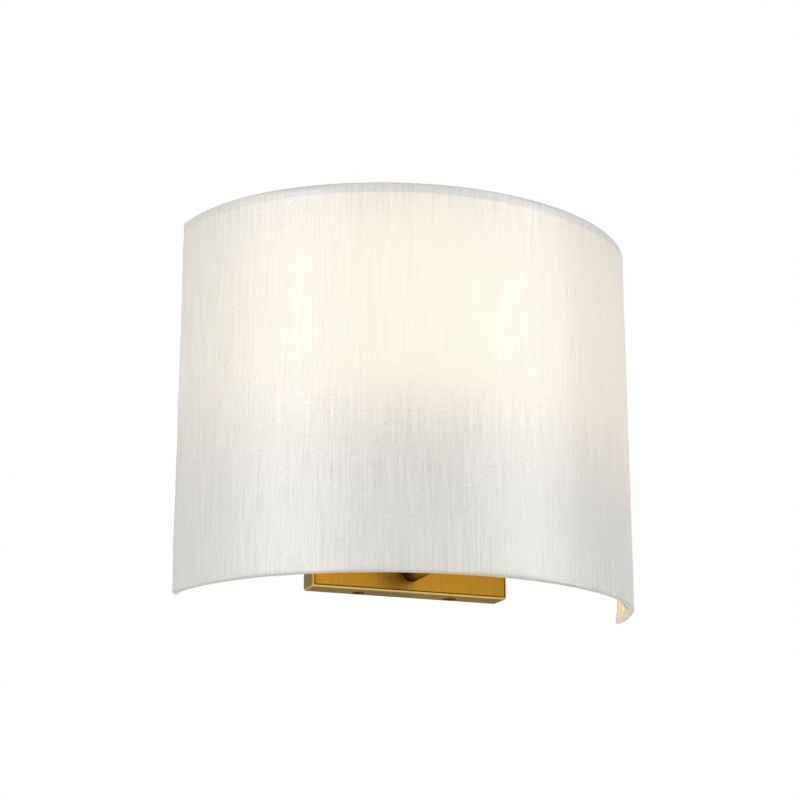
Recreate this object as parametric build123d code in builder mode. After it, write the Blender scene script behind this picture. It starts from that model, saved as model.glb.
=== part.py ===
"""Fabric shade wall light.

Frame: +X to the right, +Y into the wall, +Z up. The origin is the centre of the backplate, on the wall.
All sizes are in millimetres. "Out" means away from the wall, along -Y.
"""

import os
from math import acos, atan2, cos, degrees, radians, sin, sqrt

from build123d import *

# ---- Backplate: a box cover with rounded edges, open towards the wall ----
plate_width = 129.0
plate_height = 100.0
plate_depth = 17.0
plate_wall = 1.2
plate_edge_radius = 1.5
cut_margin = 1.0  # how far a cut starts before the face that it goes through

# ---- Wall bracket: a folded steel channel inside the backplate ----
bracket_thickness = 1.5
bracket_width = 112.0
flange_depth = 12.0
bend_radius = 2.5  # outside radius of the folds
cover_gap = 0.2  # between the bracket's flanges and the backplate
wall_slot_spacing = 60.0
wall_slot_length = 12.0
wall_slot_width = 4.5
cable_hole_radius = 7.0
bush_bore_radius = 5.0
bush_lip = 2.0
bush_lip_thickness = 1.5
access_hole_radius = 10.5  # behind the arm's nut, for a spanner

# ---- Screws through the backplate's underside, and pips that its top hangs on ----
cover_screw_spacing = 61.0
cover_screw_setback = 5.0  # from the wall
cover_screw_radius = 2.0
cover_screw_length = 7.0
cover_screw_head_radius = 3.8
cover_screw_head_height = 2.2
cover_screw_head_rounding = 1.75
head_clearance = 0.4
collar_wall = 1.2  # drawn collars that the screws are tapped in
collar_height = 2.5
pip_radius = 1.8
pip_clearance = 0.3

# ---- Arm: a round tube, straight out of the backplate and bent up ----
arm_radius = 6.0
arm_wall = 0.95
arm_above_plate_bottom = 13.0
arm_height = 37.0  # from the arm's level run up to the lampholder
arm_bend_radius = 22.0
lamp_out = 58.0  # the lamp's axis from the wall

# ---- Threaded nipples, nuts and washer that hold the arm ----
nipple_radius = 5.0
nipple_bore_radius = 3.75
nipple_depth = 10.0  # how far a nipple reaches into the arm
nipple_rise = 8.0  # how far the upper nipple reaches into the lampholder
brazing_gap = 0.05
nut_across_flats = 14.0
nut_thickness = 3.0
nut_bore_gap = 0.1
nipple_past_nut = 1.0
washer_radius = 8.5
washer_thickness = 0.8
washer_teeth = 10
washer_notch_depth = 1.6
washer_notch_width = 1.2

# ---- Lampholder, a stack along the lamp's axis, heights from its lower end ----
holder_cap_height = 29.0
holder_cap_radius = 21.0
holder_cap_wall = 2.0
holder_boss_radius = 8.5
core_gap = 0.3
core_ledge = 2.0
core_bottom = 17.0
core_thickness = 5.0
core_boss_radius = 11.5
core_boss_height = 1.5
liner_radius = 13.3  # inside radius of the threaded liner
liner_wall = 0.5
liner_height = 22.0
liner_foot = 2.8
skirt_radius = 20.0
skirt_wall = 2.2
skirt_top = 58.0
skirt_flange_radius = 26.0
skirt_flange_height = 40.0
skirt_flange_thickness = 2.5
skirt_lip_rounding = 0.7
contact_strip_width = 5.0
contact_strip_thickness = 0.5
contact_overhang = 2.5
lead_screw_radius = 1.5
lead_screw_head_radius = 2.6
lead_screw_head_height = 2.2
lead_screw_spread = 19.0
rivet_radius = 1.0
rivet_margin = 1.3  # strip beyond the rivet's middle
grub_screw_radius = 1.5

# ---- Shade ring: the threaded ring that clamps the shade's fitter ----
shade_ring_radius = 27.0
shade_ring_height = 8.0
shade_ring_wall = 2.5
shade_ring_rim = 2.5
shade_ring_grip_radius = 1.2
shade_ring_grips = 24
thread_gap = 0.3
seat_gap = 0.3  # between the shade's fitter and what clamps it

# ---- Shade: three arcs in plan, open at the back ----
shade_width = 300.0
shade_height = 235.0
shade_depth = 120.0  # from the back edges out to the front
shade_below_plate = 8.8  # how far the lower edge hangs below the backplate
wall_gap = 8.0
front_radius = 163.0
front_half_angle = 40.0  # degrees, where the front arc passes into the side arcs
fabric_thickness = 0.5
lining_thickness = 0.3
hem_width = 6.5  # fabric turned in at every edge
hem_edge_radius = 1.1
wire_radius = 0.9
wire_gap = 0.1
back_bar_corner_radius = 3.0

# ---- Fitter and spider arms: what carries the shade ----
fitter_thickness = 1.5
fitter_bore_gap = 0.5
fitter_radius = 33.0
wire_weld = 0.2  # how far a wire sinks into what it is welded to
spider_wire_radius = 1.25
spider_level_run = 9.0
spider_bend_radius = 6.0
side_spider_out = 46.0  # how far from the wall the side arms meet the lower wire
spider_slit_width = 4.5
slit_reach = 24.0  # how far a slit in the turned-in hem is cut inwards

# ---- Terminal block, earth screw and leads in the backplate ----
block_way_pitch = 8.0
block_ways = 3
block_length = 15.0  # along the leads
block_corner_radius = 1.0
block_base_depth = 7.8
block_tower_depth = 3.7
block_tower_radius = 2.4
block_level = 28.0
clamp_radius = 2.6
clamp_bore_radius = 1.5
clamp_axis_out = 4.6  # from the bracket
clamp_screw_radius = 1.4
clamp_screw_spacing = 8.0
clamp_screw_sunk = 1.0
block_screw_radius = 1.4
block_screw_head_radius = 1.9
block_screw_head_height = 1.6
lead_radius = 1.1
lead_spread = 1.5  # each lead's distance from the middle of the arm
lead_in_clamp = 4.0
lead_bend_radius = 3.5
lead_easy_radius = 12.0
lead_drop = 14.0  # straight run below the terminal block
lead_gather = 34.0  # below the terminal block, where the leads lie side by side
earth_screw_x = 22.0
earth_screw_z = -26.0
earth_screw_radius = 2.0
earth_screw_head_radius = 3.5
earth_screw_head_height = 2.4
earth_tag_radius = 4.2
earth_tag_thickness = 0.8
earth_barrel_radius = 1.7
earth_barrel_length = 6.0

# ---- Lamp: heights from its tip contact ----
lamp_lift = 0.1  # between the lamp's tip and the centre contact
tip_radius = 4.6
tip_height = 1.2
insulator_radius = 11.5
insulator_height = 5.0
insulator_plug = 2.0
cap_radius = 13.0
cap_top = 27.0
cap_wall = 0.4
housing_spigot = 7.0
housing_waist_radius = 17.0
housing_waist_height = 44.0
housing_top = 61.0
housing_wall = 1.6
housing_deck = 1.5
bulb_radius = 30.0
bulb_length = 105.0
diffuser_wall = 1.2
light_board_thickness = 1.6
light_board_margin = 2.6
light_chip_count = 12
light_chip_circle = 15.0
light_chip_size = 3.0
light_chip_thickness = 0.8
driver_board_thickness = 1.2
driver_board_bottom = 12.0
piece_gap = 0.1  # between pieces of the lamp that are glued or snapped together

# ---- Places worked out from the sizes above ----
plate_bottom = -plate_height / 2
plate_inside = plate_depth - plate_wall
cavity_height = plate_height - 2 * plate_wall
bracket_height = cavity_height - 2 * cover_gap
arm_level = plate_bottom + arm_above_plate_bottom
arm_bore_radius = arm_radius - arm_wall
holder_base = arm_level + arm_height
shade_bottom = plate_bottom - shade_below_plate
shade_top = shade_bottom + shade_height
front_centre_y = front_radius - wall_gap - shade_depth
ring_inset = fabric_thickness + lining_thickness + wire_gap + wire_radius
hem_inset = ring_inset + wire_radius + wire_gap
hem_inside = hem_inset + fabric_thickness
wire_end_drop = fabric_thickness + wire_gap + wire_radius
back_wire_y = -wall_gap - wire_end_drop
cap_inside = holder_cap_radius - holder_cap_wall
core_top = core_bottom + core_thickness
block_front = bracket_thickness + block_base_depth
clamp_out = bracket_thickness + clamp_axis_out
block_foot = block_level - block_length / 2
neck_radius = cap_radius + 2 * piece_gap
bulb_centre = bulb_length - bulb_radius
shoulder_radius = sqrt(bulb_radius**2 - (bulb_centre - housing_top) ** 2)
lamp_tip = holder_base + core_top + core_boss_height + contact_strip_thickness + lamp_lift
fitter_bottom = holder_base + skirt_flange_height + skirt_flange_thickness + seat_gap
shade_ring_bottom = fitter_bottom + fitter_thickness + seat_gap
lamp_section = Plane.XZ.offset(lamp_out)  # its local X is radial, its local Y is up
lamp_axis = Axis((0, -lamp_out, 0), (0, 0, 1))


# ---- Plan of the shade ----
turn = radians(front_half_angle)
edge_x = shade_width / 2
edge_y = -wall_gap - front_centre_y
chord_square = edge_x**2 + edge_y**2 - front_radius**2
radius_drop = chord_square / (2 * (edge_x * sin(turn) - edge_y * cos(turn) - front_radius))
side_radius = front_radius - radius_drop
side_centre_x = radius_drop * sin(turn)
side_centre_y = front_centre_y - radius_drop * cos(turn)


def plan_width(inset, y):
    """Half-width of the plan at depth y, on a curve that lies inset inside the fabric's outside."""
    return side_centre_x + sqrt((side_radius - inset) ** 2 - (side_centre_y - y) ** 2)


def plan_curve(inset, back):
    """Lines of the plan curve that lies inset inside the outside: side arc, front arc, side arc."""
    front = front_radius - inset
    side = side_radius - inset
    end = acos((side_centre_y - back) / side)
    joint = (front * sin(turn), front_centre_y - front * cos(turn))
    middle_angle = (turn + end) / 2
    middle = (
        side_centre_x + side * sin(middle_angle),
        side_centre_y - side * cos(middle_angle),
    )
    tail = (side_centre_x + side * sin(end), back)
    right = [tail, middle, joint]
    left = [(-x, y) for x, y in right]
    return [
        ThreePointArc(*left),
        ThreePointArc(left[-1], (0, front_centre_y - front), right[-1]),
        ThreePointArc(*reversed(right)),
    ]


def plan_face(inset, back, level):
    """Face inside the plan curve, closed by a straight line across the back."""
    with BuildSketch(Plane.XY.offset(level)) as face:
        with BuildLine():
            arcs = plan_curve(inset, back)
            Line(arcs[-1] @ 1, arcs[0] @ 0)
        make_face()
    return face.sketch


def plan_band(outer, inner, back, level):
    """Curved band between two insets, open at the back."""
    with BuildSketch(Plane.XY.offset(level)) as band:
        add(plan_face(outer, back, level))
        add(plan_face(inner, back + cut_margin, level), mode=Mode.SUBTRACT)
    return band.sketch


def write(builder, name):
    """Label a finished piece and write it as its own file."""
    builder.part.label = name
    export_step(builder.part, f"parts/{name}.step")


os.makedirs("parts", exist_ok=True)

# ---- Backplate ----
with BuildPart() as backplate:
    with BuildSketch(Plane.XZ):
        Rectangle(plate_width, plate_height)
    extrude(amount=plate_depth)
    wall_face = backplate.faces().sort_by(Axis.Y)[-1]
    rounded = backplate.edges().filter_by(lambda edge: edge not in wall_face.edges())
    fillet(rounded, radius=plate_edge_radius)
    offset(amount=-plate_wall, openings=backplate.faces().sort_by(Axis.Y)[-1])
    with BuildSketch(Plane.XZ.offset(plate_inside - cut_margin)):
        with Locations((0, arm_level)):
            Circle(nipple_radius + nut_bore_gap)
    extrude(amount=plate_wall + 2 * cut_margin, mode=Mode.SUBTRACT)
    with BuildSketch(Plane.XY.offset(plate_bottom - cut_margin)):
        with Locations((0, -cover_screw_setback)):
            with GridLocations(cover_screw_spacing, 0, 2, 1):
                Circle(cover_screw_head_radius + head_clearance)
    extrude(amount=plate_wall + 2 * cut_margin, mode=Mode.SUBTRACT)
    with BuildSketch(Plane.XY.offset(-plate_bottom - plate_wall - cut_margin)):
        with Locations((0, -cover_screw_setback)):
            with GridLocations(cover_screw_spacing, 0, 2, 1):
                Circle(pip_radius + pip_clearance)
    extrude(amount=plate_wall + 2 * cut_margin, mode=Mode.SUBTRACT)
write(backplate, "backplate")

# ---- Wall bracket ----
half_bracket = bracket_height / 2
with BuildPart() as wall_bracket:
    with BuildSketch(Plane.YZ):
        with BuildLine():
            Polyline(
                (-flange_depth, half_bracket),
                (0, half_bracket),
                (0, -half_bracket),
                (-flange_depth, -half_bracket),
                (-flange_depth, bracket_thickness - half_bracket),
                (-bracket_thickness, bracket_thickness - half_bracket),
                (-bracket_thickness, half_bracket - bracket_thickness),
                (-flange_depth, half_bracket - bracket_thickness),
                close=True,
            )
        section = make_face()
        outside_corners = section.vertices().group_by(Axis.X)[-1]
        inside_corners = section.vertices().group_by(Axis.X)[1]
        fillet(outside_corners, radius=bend_radius)
        fillet(inside_corners, radius=bend_radius - bracket_thickness)
    extrude(amount=bracket_width / 2, both=True)
    with BuildSketch(Plane.XZ):
        with GridLocations(wall_slot_spacing, 0, 2, 1):
            SlotOverall(wall_slot_length, wall_slot_width)
        Circle(cable_hole_radius)
        with Locations((0, arm_level)):
            Circle(access_hole_radius)
    extrude(amount=bracket_thickness, mode=Mode.SUBTRACT)
    for spacing_side in (-1, 1):
        with Locations((spacing_side * cover_screw_spacing / 2, -cover_screw_setback, -half_bracket)):
            Cylinder(
                cover_screw_radius + collar_wall,
                collar_height,
                align=(Align.CENTER, Align.CENTER, Align.MIN),
            )
            Cylinder(cover_screw_radius, 2 * (collar_height + cut_margin), mode=Mode.SUBTRACT)
        with Locations((spacing_side * cover_screw_spacing / 2, -cover_screw_setback, half_bracket)):
            Cylinder(
                pip_radius,
                cover_gap + plate_wall,
                align=(Align.CENTER, Align.CENTER, Align.MIN),
            )
    with BuildSketch(Plane.XZ):
        with Locations((earth_screw_x, earth_screw_z)):
            Circle(earth_screw_radius)
        with Locations((block_way_pitch / 2, block_level)):
            Circle(block_screw_radius)
    extrude(amount=bracket_thickness, mode=Mode.SUBTRACT)
write(wall_bracket, "wall_bracket")

# ---- Cable bush ----
with BuildPart() as cable_bush:
    with BuildSketch(Plane.XZ):
        Circle(cable_hole_radius - brazing_gap)
    extrude(amount=bracket_thickness)
    with BuildSketch(Plane.XZ.offset(bracket_thickness)):
        Circle(cable_hole_radius + bush_lip)
    extrude(amount=bush_lip_thickness)
    fillet(cable_bush.edges().group_by(Axis.Y)[0], radius=bush_lip_thickness / 2)
    with BuildSketch(Plane.XZ):
        Circle(bush_bore_radius)
    extrude(amount=bracket_thickness + bush_lip_thickness, mode=Mode.SUBTRACT)
write(cable_bush, "cable_bush")

# ---- Cover screws, in the backplate's underside ----
with BuildPart() as cover_screws:
    head_seat = -half_bracket
    with BuildSketch(Plane.XY.offset(head_seat)):
        with Locations((0, -cover_screw_setback)):
            with GridLocations(cover_screw_spacing, 0, 2, 1):
                Circle(cover_screw_head_radius)
    extrude(amount=-cover_screw_head_height)
    fillet(cover_screws.edges().group_by(Axis.Z)[0], radius=cover_screw_head_rounding)
    with BuildSketch(Plane.XY.offset(head_seat)):
        with Locations((0, -cover_screw_setback)):
            with GridLocations(cover_screw_spacing, 0, 2, 1):
                Circle(cover_screw_radius - brazing_gap)
    extrude(amount=cover_screw_length)
write(cover_screws, "cover_screws")

# ---- Arm ----
with BuildPart() as arm_tube:
    with BuildLine(Plane.YZ) as arm_path:
        FilletPolyline(
            (-plate_depth, arm_level),
            (-lamp_out, arm_level),
            (-lamp_out, holder_base),
            radius=arm_bend_radius,
        )
    with BuildSketch(Plane.XZ.offset(plate_depth)):
        with Locations((0, arm_level)):
            Circle(arm_radius)
            Circle(arm_bore_radius, mode=Mode.SUBTRACT)
    sweep(path=arm_path.line)
write(arm_tube, "arm_tube")

# ---- Threaded nipples at the two ends of the arm ----
nut_front = plate_inside - washer_thickness - nut_thickness
with BuildPart() as wall_nipple:
    with BuildSketch(Plane.XZ.offset(nut_front - nipple_past_nut)):
        with Locations((0, arm_level)):
            Circle(nipple_radius)
            Circle(nipple_bore_radius, mode=Mode.SUBTRACT)
    extrude(amount=plate_depth + nipple_depth - nut_front + nipple_past_nut)
write(wall_nipple, "wall_nipple")

with BuildPart() as holder_nipple:
    with BuildSketch(Plane.XY.offset(holder_base - nipple_depth)):
        with Locations((0, -lamp_out)):
            Circle(nipple_radius)
            Circle(nipple_bore_radius, mode=Mode.SUBTRACT)
    extrude(amount=nipple_depth + nipple_rise)
write(holder_nipple, "holder_nipple")

with BuildPart() as arm_washer:
    with BuildSketch(Plane.XZ.offset(plate_inside - washer_thickness)):
        with Locations((0, arm_level)):
            Circle(washer_radius)
            Circle(nipple_radius + nut_bore_gap, mode=Mode.SUBTRACT)
            with PolarLocations(washer_radius, washer_teeth):
                Rectangle(washer_notch_depth, washer_notch_width, mode=Mode.SUBTRACT)
    extrude(amount=washer_thickness)
write(arm_washer, "arm_washer")

with BuildPart() as arm_nut:
    with BuildSketch(Plane.XZ.offset(nut_front)):
        with Locations((0, arm_level)):
            RegularPolygon(nut_across_flats / 2, 6, major_radius=False)
            Circle(nipple_radius + nut_bore_gap, mode=Mode.SUBTRACT)
    extrude(amount=nut_thickness)
write(arm_nut, "arm_nut")


# ---- Lampholder ----
def ring_section(inner, outer, bottom, top, mode=Mode.ADD):
    """Rectangle in the lamp's section, from one radius and height to another."""
    with Locations(((inner + outer) / 2, (bottom + top) / 2)):
        Rectangle(outer - inner, top - bottom, mode=mode)


with BuildPart() as holder_cap:
    dome_radius = holder_cap_radius - holder_boss_radius
    ledge_radius = cap_inside - core_ledge
    hollow_radius = ledge_radius - holder_boss_radius
    shoulder = holder_base + holder_cap_wall + dome_radius
    hollow_shoulder = shoulder - holder_cap_wall
    bore = nipple_radius + nut_bore_gap
    with BuildSketch(lamp_section):
        with BuildLine():
            Polyline(
                (bore, hollow_shoulder - hollow_radius),
                (bore, holder_base),
                (holder_boss_radius, holder_base),
                (holder_boss_radius, holder_base + holder_cap_wall),
            )
            RadiusArc(
                (holder_boss_radius, holder_base + holder_cap_wall),
                (holder_cap_radius, shoulder),
                -dome_radius,
            )
            Polyline(
                (holder_cap_radius, shoulder),
                (holder_cap_radius, holder_base + holder_cap_height),
                (cap_inside, holder_base + holder_cap_height),
                (cap_inside, holder_base + core_bottom),
                (ledge_radius, holder_base + core_bottom),
                (ledge_radius, hollow_shoulder),
            )
            RadiusArc(
                (ledge_radius, hollow_shoulder),
                (holder_boss_radius, hollow_shoulder - hollow_radius),
                hollow_radius,
            )
            Line(
                (holder_boss_radius, hollow_shoulder - hollow_radius),
                (bore, hollow_shoulder - hollow_radius),
            )
        make_face()
    revolve(axis=lamp_axis)
    with BuildSketch(Plane.XZ.offset(lamp_out - holder_boss_radius - cut_margin)):
        with Locations((0, holder_base + holder_cap_wall)):
            Circle(grub_screw_radius)
    extrude(amount=holder_boss_radius + cut_margin - nipple_radius, mode=Mode.SUBTRACT)
write(holder_cap, "holder_cap")

with BuildPart() as grub_screw:
    with BuildSketch(Plane.XZ.offset(lamp_out - holder_boss_radius)):
        with Locations((0, holder_base + holder_cap_wall)):
            Circle(grub_screw_radius - brazing_gap)
    extrude(amount=holder_boss_radius - nipple_radius - brazing_gap)
write(grub_screw, "grub_screw")

rivet_x = liner_radius + liner_wall + liner_foot / 2
with BuildPart() as holder_core:
    with BuildSketch(lamp_section):
        ring_section(0, cap_inside - core_gap, holder_base + core_bottom, holder_base + core_top)
        ring_section(
            0, core_boss_radius, holder_base + core_top, holder_base + core_top + core_boss_height
        )
    revolve(axis=lamp_axis)
    with BuildSketch(Plane.XY.offset(holder_base + core_bottom)):
        with Locations((0, -lamp_out)):
            with GridLocations(lead_screw_spread, 0, 2, 1):
                Circle(lead_screw_radius)
            with Locations((rivet_x, 0)):
                Circle(rivet_radius)
    extrude(amount=core_thickness + core_boss_height, mode=Mode.SUBTRACT)
write(holder_core, "holder_core")

with BuildPart() as thread_liner:
    with BuildSketch(lamp_section):
        liner_outside = liner_radius + liner_wall
        liner_bottom = holder_base + core_top
        ring_section(liner_radius, liner_outside, liner_bottom, liner_bottom + liner_height)
        ring_section(liner_radius, liner_outside + liner_foot, liner_bottom, liner_bottom + liner_wall)
    revolve(axis=lamp_axis)
    with BuildSketch(Plane.XY.offset(liner_bottom)):
        with Locations((rivet_x, -lamp_out)):
            Circle(rivet_radius)
    extrude(amount=liner_wall, mode=Mode.SUBTRACT)
write(thread_liner, "thread_liner")

with BuildPart() as centre_contact:
    strip_length = lead_screw_spread / 2 + 2 * contact_overhang
    with BuildSketch(Plane.XY.offset(holder_base + core_top + core_boss_height)):
        with Locations((contact_overhang - strip_length / 2, -lamp_out)):
            SlotOverall(strip_length, contact_strip_width)
        with Locations((-lead_screw_spread / 2, -lamp_out)):
            Circle(lead_screw_radius, mode=Mode.SUBTRACT)
    extrude(amount=contact_strip_thickness)
write(centre_contact, "centre_contact")

with BuildPart() as side_contact:
    strip_start = lead_screw_spread / 2 - contact_overhang
    strip_end = rivet_x + rivet_margin
    with BuildSketch(Plane.XY.offset(holder_base + core_bottom)):
        with Locations(((strip_start + strip_end) / 2, -lamp_out)):
            Rectangle(strip_end - strip_start, contact_strip_width)
        with Locations((lead_screw_spread / 2, -lamp_out)):
            Circle(lead_screw_radius, mode=Mode.SUBTRACT)
    extrude(amount=-contact_strip_thickness)
    with BuildSketch(Plane.XY.offset(holder_base + core_bottom)):
        with Locations((rivet_x, -lamp_out)):
            Circle(rivet_radius - brazing_gap)
    extrude(amount=core_thickness + liner_wall)
write(side_contact, "side_contact")

with BuildPart() as lead_screws:
    head_top = holder_base + core_bottom - contact_strip_thickness
    shank_top = holder_base + core_top + core_boss_height
    with BuildSketch(Plane.XY.offset(head_top)):
        with Locations((0, -lamp_out)):
            with GridLocations(lead_screw_spread, 0, 2, 1):
                Circle(lead_screw_head_radius)
    extrude(amount=-lead_screw_head_height)
    with BuildSketch(Plane.XY.offset(head_top)):
        with Locations((0, -lamp_out)):
            with GridLocations(lead_screw_spread, 0, 2, 1):
                Circle(lead_screw_radius - brazing_gap)
    extrude(amount=shank_top - head_top)
write(lead_screws, "lead_screws")

with BuildPart() as holder_skirt:
    skirt_bore = skirt_radius - skirt_wall
    skirt_foot = holder_base + core_top + core_gap
    cap_rim = holder_base + holder_cap_height
    flange_level = holder_base + skirt_flange_height
    with BuildSketch(lamp_section):
        ring_section(skirt_bore, cap_inside - brazing_gap, skirt_foot, cap_rim)
        ring_section(skirt_bore, skirt_radius, cap_rim, holder_base + skirt_top)
        ring_section(
            skirt_bore, skirt_flange_radius, flange_level, flange_level + skirt_flange_thickness
        )
    revolve(axis=lamp_axis)
    top_edges = holder_skirt.edges().group_by(Axis.Z)[-1]
    fillet(top_edges, radius=skirt_lip_rounding)
write(holder_skirt, "holder_skirt")

# ---- Shade ring ----
with BuildPart() as shade_ring:
    ring_bore = skirt_radius + thread_gap
    with BuildSketch(lamp_section):
        ring_section(
            ring_bore, shade_ring_radius, shade_ring_bottom, shade_ring_bottom + shade_ring_rim
        )
        ring_section(
            ring_bore,
            ring_bore + shade_ring_wall,
            shade_ring_bottom,
            shade_ring_bottom + shade_ring_height,
        )
    revolve(axis=lamp_axis)
    with BuildSketch(Plane.XY.offset(shade_ring_bottom)):
        with Locations((0, -lamp_out)):
            with PolarLocations(shade_ring_radius + shade_ring_grip_radius / 2, shade_ring_grips):
                Circle(shade_ring_grip_radius)
    extrude(amount=shade_ring_rim, mode=Mode.SUBTRACT)
write(shade_ring, "shade_ring")

# ---- Fitter: the flat ring that sits on the lampholder's flange ----
with BuildPart() as fitter_ring:
    with BuildSketch(lamp_section):
        ring_section(
            skirt_radius + fitter_bore_gap,
            fitter_radius,
            fitter_bottom,
            fitter_bottom + fitter_thickness,
        )
    revolve(axis=lamp_axis)
write(fitter_ring, "fitter_ring")

# ---- Shade wires ----
lower_wire_level = shade_bottom + wire_end_drop
upper_wire_level = shade_top - wire_end_drop
strut_x = plan_width(ring_inset, back_wire_y)
spider_level = fitter_bottom - spider_wire_radius + wire_weld
spider_start = skirt_flange_radius + spider_wire_radius + seat_gap
front_foot = (0, front_centre_y - front_radius + ring_inset)
side_foot = (plan_width(ring_inset, -side_spider_out), -side_spider_out)


def write_spider_arm(foot, name):
    """Wire from the fitter's underside straight out, then down to a foot on the lower wire."""
    foot_out = Vector(foot[0], foot[1] + lamp_out)
    outward = foot_out.normalized()
    start = outward * spider_start + Vector(0, -lamp_out, spider_level)
    knee = start + outward * spider_level_run
    wire_middle = Vector(*foot, lower_wire_level)
    end = wire_middle + (knee - wire_middle).normalized() * (wire_radius - wire_weld)
    with BuildPart() as spider_arm:
        with BuildLine() as path:
            FilletPolyline(start, knee, end, radius=spider_bend_radius)
        with BuildSketch(Plane(origin=start, z_dir=outward)):
            Circle(spider_wire_radius)
        sweep(path=path.line)
    write(spider_arm, name)


write_spider_arm(front_foot, "spider_arm_front")
write_spider_arm((-side_foot[0], side_foot[1]), "spider_arm_left")
write_spider_arm(side_foot, "spider_arm_right")

with BuildSketch(Plane.XY.offset(upper_wire_level)) as top_outline:
    add(plan_face(ring_inset, back_wire_y, upper_wire_level))
    fillet(top_outline.vertices().group_by(Axis.Y)[-1], radius=back_bar_corner_radius)
top_path = top_outline.sketch.face().outer_wire()

with BuildPart() as top_ring:
    with BuildSketch(Plane(origin=top_path @ 0, z_dir=top_path % 0)):
        Circle(wire_radius)
    sweep(path=top_path)
write(top_ring, "top_ring")

with BuildPart() as bottom_ring:
    with BuildLine(Plane.XY.offset(lower_wire_level)) as bottom_path:
        plan_curve(ring_inset, back_wire_y)
    with BuildSketch(Plane(origin=bottom_path.line @ 0, z_dir=bottom_path.line % 0)):
        Circle(wire_radius)
    sweep(path=bottom_path.line)
write(bottom_ring, "bottom_ring")

strut_sink = wire_radius - wire_weld
for strut_name, strut_side in (("back_strut_left", -1), ("back_strut_right", 1)):
    with BuildPart() as back_strut:
        with BuildSketch(Plane.XY.offset(lower_wire_level + strut_sink)):
            with Locations((strut_side * strut_x, back_wire_y)):
                Circle(wire_radius)
        extrude(amount=upper_wire_level - lower_wire_level - 2 * strut_sink)
    write(back_strut, strut_name)

# ---- Shade lining and fabric ----
with BuildPart() as shade_lining:
    band = plan_band(
        fabric_thickness,
        fabric_thickness + lining_thickness,
        -wall_gap - fabric_thickness,
        shade_bottom + fabric_thickness,
    )
    extrude(band, amount=shade_height - 2 * fabric_thickness)
write(shade_lining, "shade_lining")

with BuildPart() as shade_fabric:
    extrude(plan_band(0, hem_inside, -wall_gap, shade_bottom), amount=shade_height)
    fillet(shade_fabric.edges(), radius=hem_edge_radius)
    channel = plan_band(
        fabric_thickness,
        hem_inset,
        -wall_gap - fabric_thickness,
        shade_bottom + fabric_thickness,
    )
    extrude(channel, amount=shade_height - 2 * fabric_thickness, mode=Mode.SUBTRACT)
    window = plan_band(
        hem_inset - fabric_thickness,
        hem_inside + fabric_thickness,
        -wall_gap - hem_width,
        shade_bottom + hem_width,
    )
    extrude(window, amount=shade_height - 2 * hem_width, mode=Mode.SUBTRACT)
    slit_height = hem_width - fabric_thickness
    for foot in (front_foot, side_foot, (-side_foot[0], side_foot[1])):
        slit_turn = degrees(atan2(foot[1] + lamp_out, foot[0]))
        with Locations(Location((*foot, shade_bottom + fabric_thickness), (0, 0, slit_turn))):
            Box(
                slit_reach,
                spider_slit_width,
                slit_height,
                align=(Align.MAX, Align.CENTER, Align.MIN),
                mode=Mode.SUBTRACT,
            )
    for notch_side in (-1, 1):
        notch_corner = (notch_side * strut_x, -wall_gap - fabric_thickness)
        with Locations((*notch_corner, shade_top - fabric_thickness)):
            Box(
                slit_reach,
                2 * wire_radius + 2 * wire_gap + back_bar_corner_radius,
                slit_height,
                align=(Align.MAX if notch_side > 0 else Align.MIN, Align.MAX, Align.MAX),
                mode=Mode.SUBTRACT,
            )
write(shade_fabric, "shade_fabric")

# ---- Terminal block ----
block_centre = (0, block_level)
with BuildPart() as terminal_block:
    with BuildSketch(Plane.XZ.offset(bracket_thickness)):
        with Locations(block_centre):
            RectangleRounded(block_ways * block_way_pitch, block_length, block_corner_radius)
    extrude(amount=block_base_depth)
    with BuildSketch(Plane.XZ.offset(block_front)):
        with Locations(block_centre):
            with GridLocations(block_way_pitch, clamp_screw_spacing, block_ways, 2):
                Circle(block_tower_radius)
    extrude(amount=block_tower_depth)
    with BuildSketch(Plane.XZ.offset(clamp_out)):
        with Locations(block_centre):
            with GridLocations(block_way_pitch, clamp_screw_spacing, block_ways, 2):
                Circle(clamp_screw_radius + brazing_gap)
    extrude(amount=block_base_depth + block_tower_depth, mode=Mode.SUBTRACT)
    with BuildSketch(Plane.XY.offset(block_foot)):
        with Locations((0, -clamp_out)):
            with GridLocations(block_way_pitch, 0, block_ways, 1):
                Circle(clamp_radius + brazing_gap)
    extrude(amount=block_length, mode=Mode.SUBTRACT)
    with BuildSketch(Plane.XZ.offset(bracket_thickness)):
        with Locations((block_way_pitch / 2, block_level)):
            Circle(block_screw_radius)
    extrude(amount=block_base_depth, mode=Mode.SUBTRACT)
write(terminal_block, "terminal_block")

with BuildPart() as terminal_clamps:
    with BuildSketch(Plane.XY.offset(block_foot)):
        with Locations((0, -clamp_out)):
            with GridLocations(block_way_pitch, 0, block_ways, 1):
                Circle(clamp_radius)
                Circle(clamp_bore_radius, mode=Mode.SUBTRACT)
    extrude(amount=block_length)
    with BuildSketch(Plane.XZ.offset(clamp_out)):
        with Locations(block_centre):
            with GridLocations(block_way_pitch, clamp_screw_spacing, block_ways, 2):
                Circle(clamp_screw_radius)
    extrude(amount=clamp_radius, mode=Mode.SUBTRACT)
write(terminal_clamps, "terminal_clamps")

with BuildPart() as terminal_screws:
    screw_tip = clamp_out + lead_radius + brazing_gap
    with BuildSketch(Plane.XZ.offset(screw_tip)):
        with Locations(block_centre):
            with GridLocations(block_way_pitch, clamp_screw_spacing, block_ways, 2):
                Circle(clamp_screw_radius - brazing_gap)
    extrude(amount=block_front + block_tower_depth - clamp_screw_sunk - screw_tip)
write(terminal_screws, "terminal_screws")

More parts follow.
